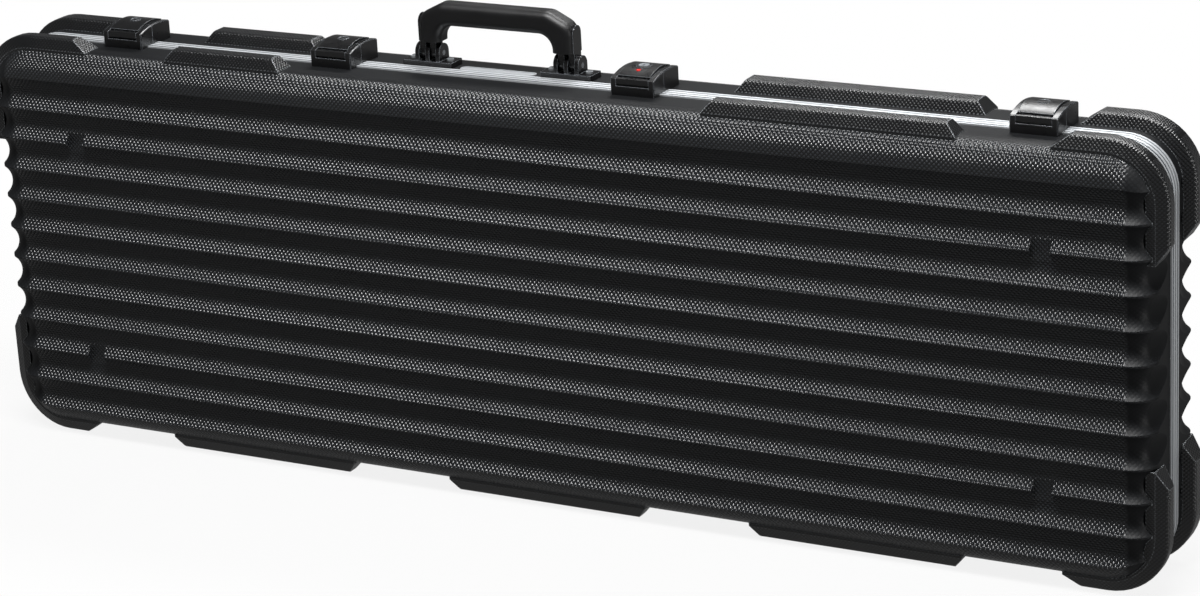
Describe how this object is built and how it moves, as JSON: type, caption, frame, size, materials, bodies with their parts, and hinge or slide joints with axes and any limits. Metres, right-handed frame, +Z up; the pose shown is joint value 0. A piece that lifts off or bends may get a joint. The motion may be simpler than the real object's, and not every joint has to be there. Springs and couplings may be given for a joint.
{
  "type": "bass guitar case",
  "caption": "Long rectangular hard case for a bass guitar: fluted moulded shells, aluminium rim, corner bumpers, top latches, carrying handle and hinged lid.",
  "frame": {"origin": "centre of the footprint of the case at the level that it stands on, lid closed", "axes": "+X along the case, +Z up from the hinge side to the handle, the lid faces -Y"},
  "size_m": [1.294, 0.13, 0.49],
  "materials": {
    "shell_plastic": "moulded ABS, satin with a fine embossed weave",
    "bumper_plastic": "moulded ABS, embossed weave, a little glossier",
    "valance_aluminium": "extruded, lengthwise lines, clear anodised",
    "latch_nylon": "moulded glass-filled nylon, low gloss",
    "steel_pins": "drawn steel pin",
    "hinge_steel": "stamped zinc-plated steel",
    "rivet_aluminium": "drawn rivets",
    "lock_metal": "dark plated die casting",
    "red_enamel": "glossy red inlay",
    "handle_nylon": "moulded glass-filled nylon",
    "grip_rubber": "soft matt elastomer",
    "black_screws": "black zinc, cross recess",
    "plate_aluminium": "brushed bare plate",
    "plush_lining": "short-pile black plush over foam",
    "tab_webbing": "woven tape"
  },
  "bodies": {
    "base": {"base_shell": "shell_plastic", "base_valance": "valance_aluminium", "base_corner_bumpers": "bumper_plastic", "base_bottom_bumpers": "bumper_plastic", "base_top_bumpers": "bumper_plastic", "base_hinge_rivets": "rivet_aluminium", "base_latch_rivets": "rivet_aluminium", "hinge_1_base_leaf": "hinge_steel", "hinge_2_base_leaf": "hinge_steel", "hinge_3_base_leaf": "hinge_steel", "hinge_4_base_leaf": "hinge_steel", "hinge_pins": "steel_pins", "latch_pivot_pins": "steel_pins", "latch_1_housing": "latch_nylon", "latch_2_housing": "latch_nylon", "latch_3_housing": "latch_nylon", "latch_4_housing": "latch_nylon", "handle_bracket_left": "handle_nylon", "handle_bracket_right": "handle_nylon", "handle_pins": "steel_pins", "handle_screws": "black_screws", "nameplate": "plate_aluminium", "base_liner": "plush_lining", "compartment_cover": "plush_lining", "compartment_tab": "tab_webbing", "neck_rest": "plush_lining"},
    "lid": {"lid_shell": "shell_plastic", "lid_valance": "valance_aluminium", "lid_corner_bumpers": "bumper_plastic", "lid_bottom_bumpers": "bumper_plastic", "lid_top_bumpers": "bumper_plastic", "lid_hinge_rivets": "rivet_aluminium", "lid_latch_rivets": "rivet_aluminium", "hinge_1_lid_leaf": "hinge_steel", "hinge_2_lid_leaf": "hinge_steel", "hinge_3_lid_leaf": "hinge_steel", "hinge_4_lid_leaf": "hinge_steel", "latch_1_keeper": "latch_nylon", "latch_2_keeper": "latch_nylon", "latch_3_keeper": "latch_nylon", "latch_4_keeper": "latch_nylon", "lid_liner": "plush_lining"},
    "handle": {"handle_core": "handle_nylon", "handle_grip": "grip_rubber"},
    "lock_plug": {"lock_plug": "lock_metal"},
    "lever_1": {"latch_1_lever": "latch_nylon", "latch_1_trigger_pin": "steel_pins"},
    "trigger_1": {"latch_1_trigger": "latch_nylon"},
    "lever_2": {"latch_2_lever": "latch_nylon", "latch_2_trigger_pin": "steel_pins"},
    "trigger_2": {"latch_2_trigger": "latch_nylon"},
    "lever_3": {"latch_3_lever": "latch_nylon", "latch_3_trigger_pin": "steel_pins", "lock_dot": "red_enamel"},
    "trigger_3": {"latch_3_trigger": "latch_nylon"},
    "lever_4": {"latch_4_lever": "latch_nylon", "latch_4_trigger_pin": "steel_pins"},
    "trigger_4": {"latch_4_trigger": "latch_nylon"}
  },
  "joints": [
    {"name": "lid_hinge", "type": "hinge", "parent": "base", "child": "lid", "pos_m": [0, -0.003, 0.0069], "axis": [1, 0, 0], "range_deg": [0, 110]},
    {"name": "handle_hinge", "type": "hinge", "parent": "base", "child": "handle", "pos_m": [-0.064, 0.02, 0.4375], "axis": [1, 0, 0], "range_deg": [-85, 85]},
    {"name": "lever_1_hinge", "type": "hinge", "parent": "base", "child": "lever_1", "pos_m": [-0.486, 0.0185, 0.4356], "axis": [-1, 0, 0], "range_deg": [0, 108]},
    {"name": "trigger_1_hinge", "type": "hinge", "parent": "lever_1", "child": "trigger_1", "pos_m": [-0.486, -0.0159, 0.439], "axis": [-1, 0, 0], "range_deg": [0, 15], "stiffness_Nm_per_rad": 0.02, "springref_deg": -11.46},
    {"name": "lever_2_hinge", "type": "hinge", "parent": "base", "child": "lever_2", "pos_m": [-0.234, 0.0185, 0.4356], "axis": [-1, 0, 0], "range_deg": [0, 108]},
    {"name": "trigger_2_hinge", "type": "hinge", "parent": "lever_2", "child": "trigger_2", "pos_m": [-0.234, -0.0159, 0.439], "axis": [-1, 0, 0], "range_deg": [0, 15], "stiffness_Nm_per_rad": 0.02, "springref_deg": -11.46},
    {"name": "lever_3_hinge", "type": "hinge", "parent": "base", "child": "lever_3", "pos_m": [0.104, 0.0185, 0.4356], "axis": [-1, 0, 0], "range_deg": [0, 108]},
    {"name": "trigger_3_hinge", "type": "hinge", "parent": "lever_3", "child": "trigger_3", "pos_m": [0.104, -0.0159, 0.439], "axis": [-1, 0, 0], "range_deg": [0, 15], "stiffness_Nm_per_rad": 0.02, "springref_deg": -11.46},
    {"name": "lever_4_hinge", "type": "hinge", "parent": "base", "child": "lever_4", "pos_m": [0.51, 0.0185, 0.4356], "axis": [-1, 0, 0], "range_deg": [0, 108]},
    {"name": "trigger_4_hinge", "type": "hinge", "parent": "lever_4", "child": "trigger_4", "pos_m": [0.51, -0.0159, 0.439], "axis": [-1, 0, 0], "range_deg": [0, 15], "stiffness_Nm_per_rad": 0.02, "springref_deg": -11.46},
    {"name": "lock_turn", "type": "hinge", "parent": "lever_3", "child": "lock_plug", "pos_m": [0.104, 0.003, 0.446], "axis": [0, 0, 1], "range_deg": [0, 90]}
  ]
}
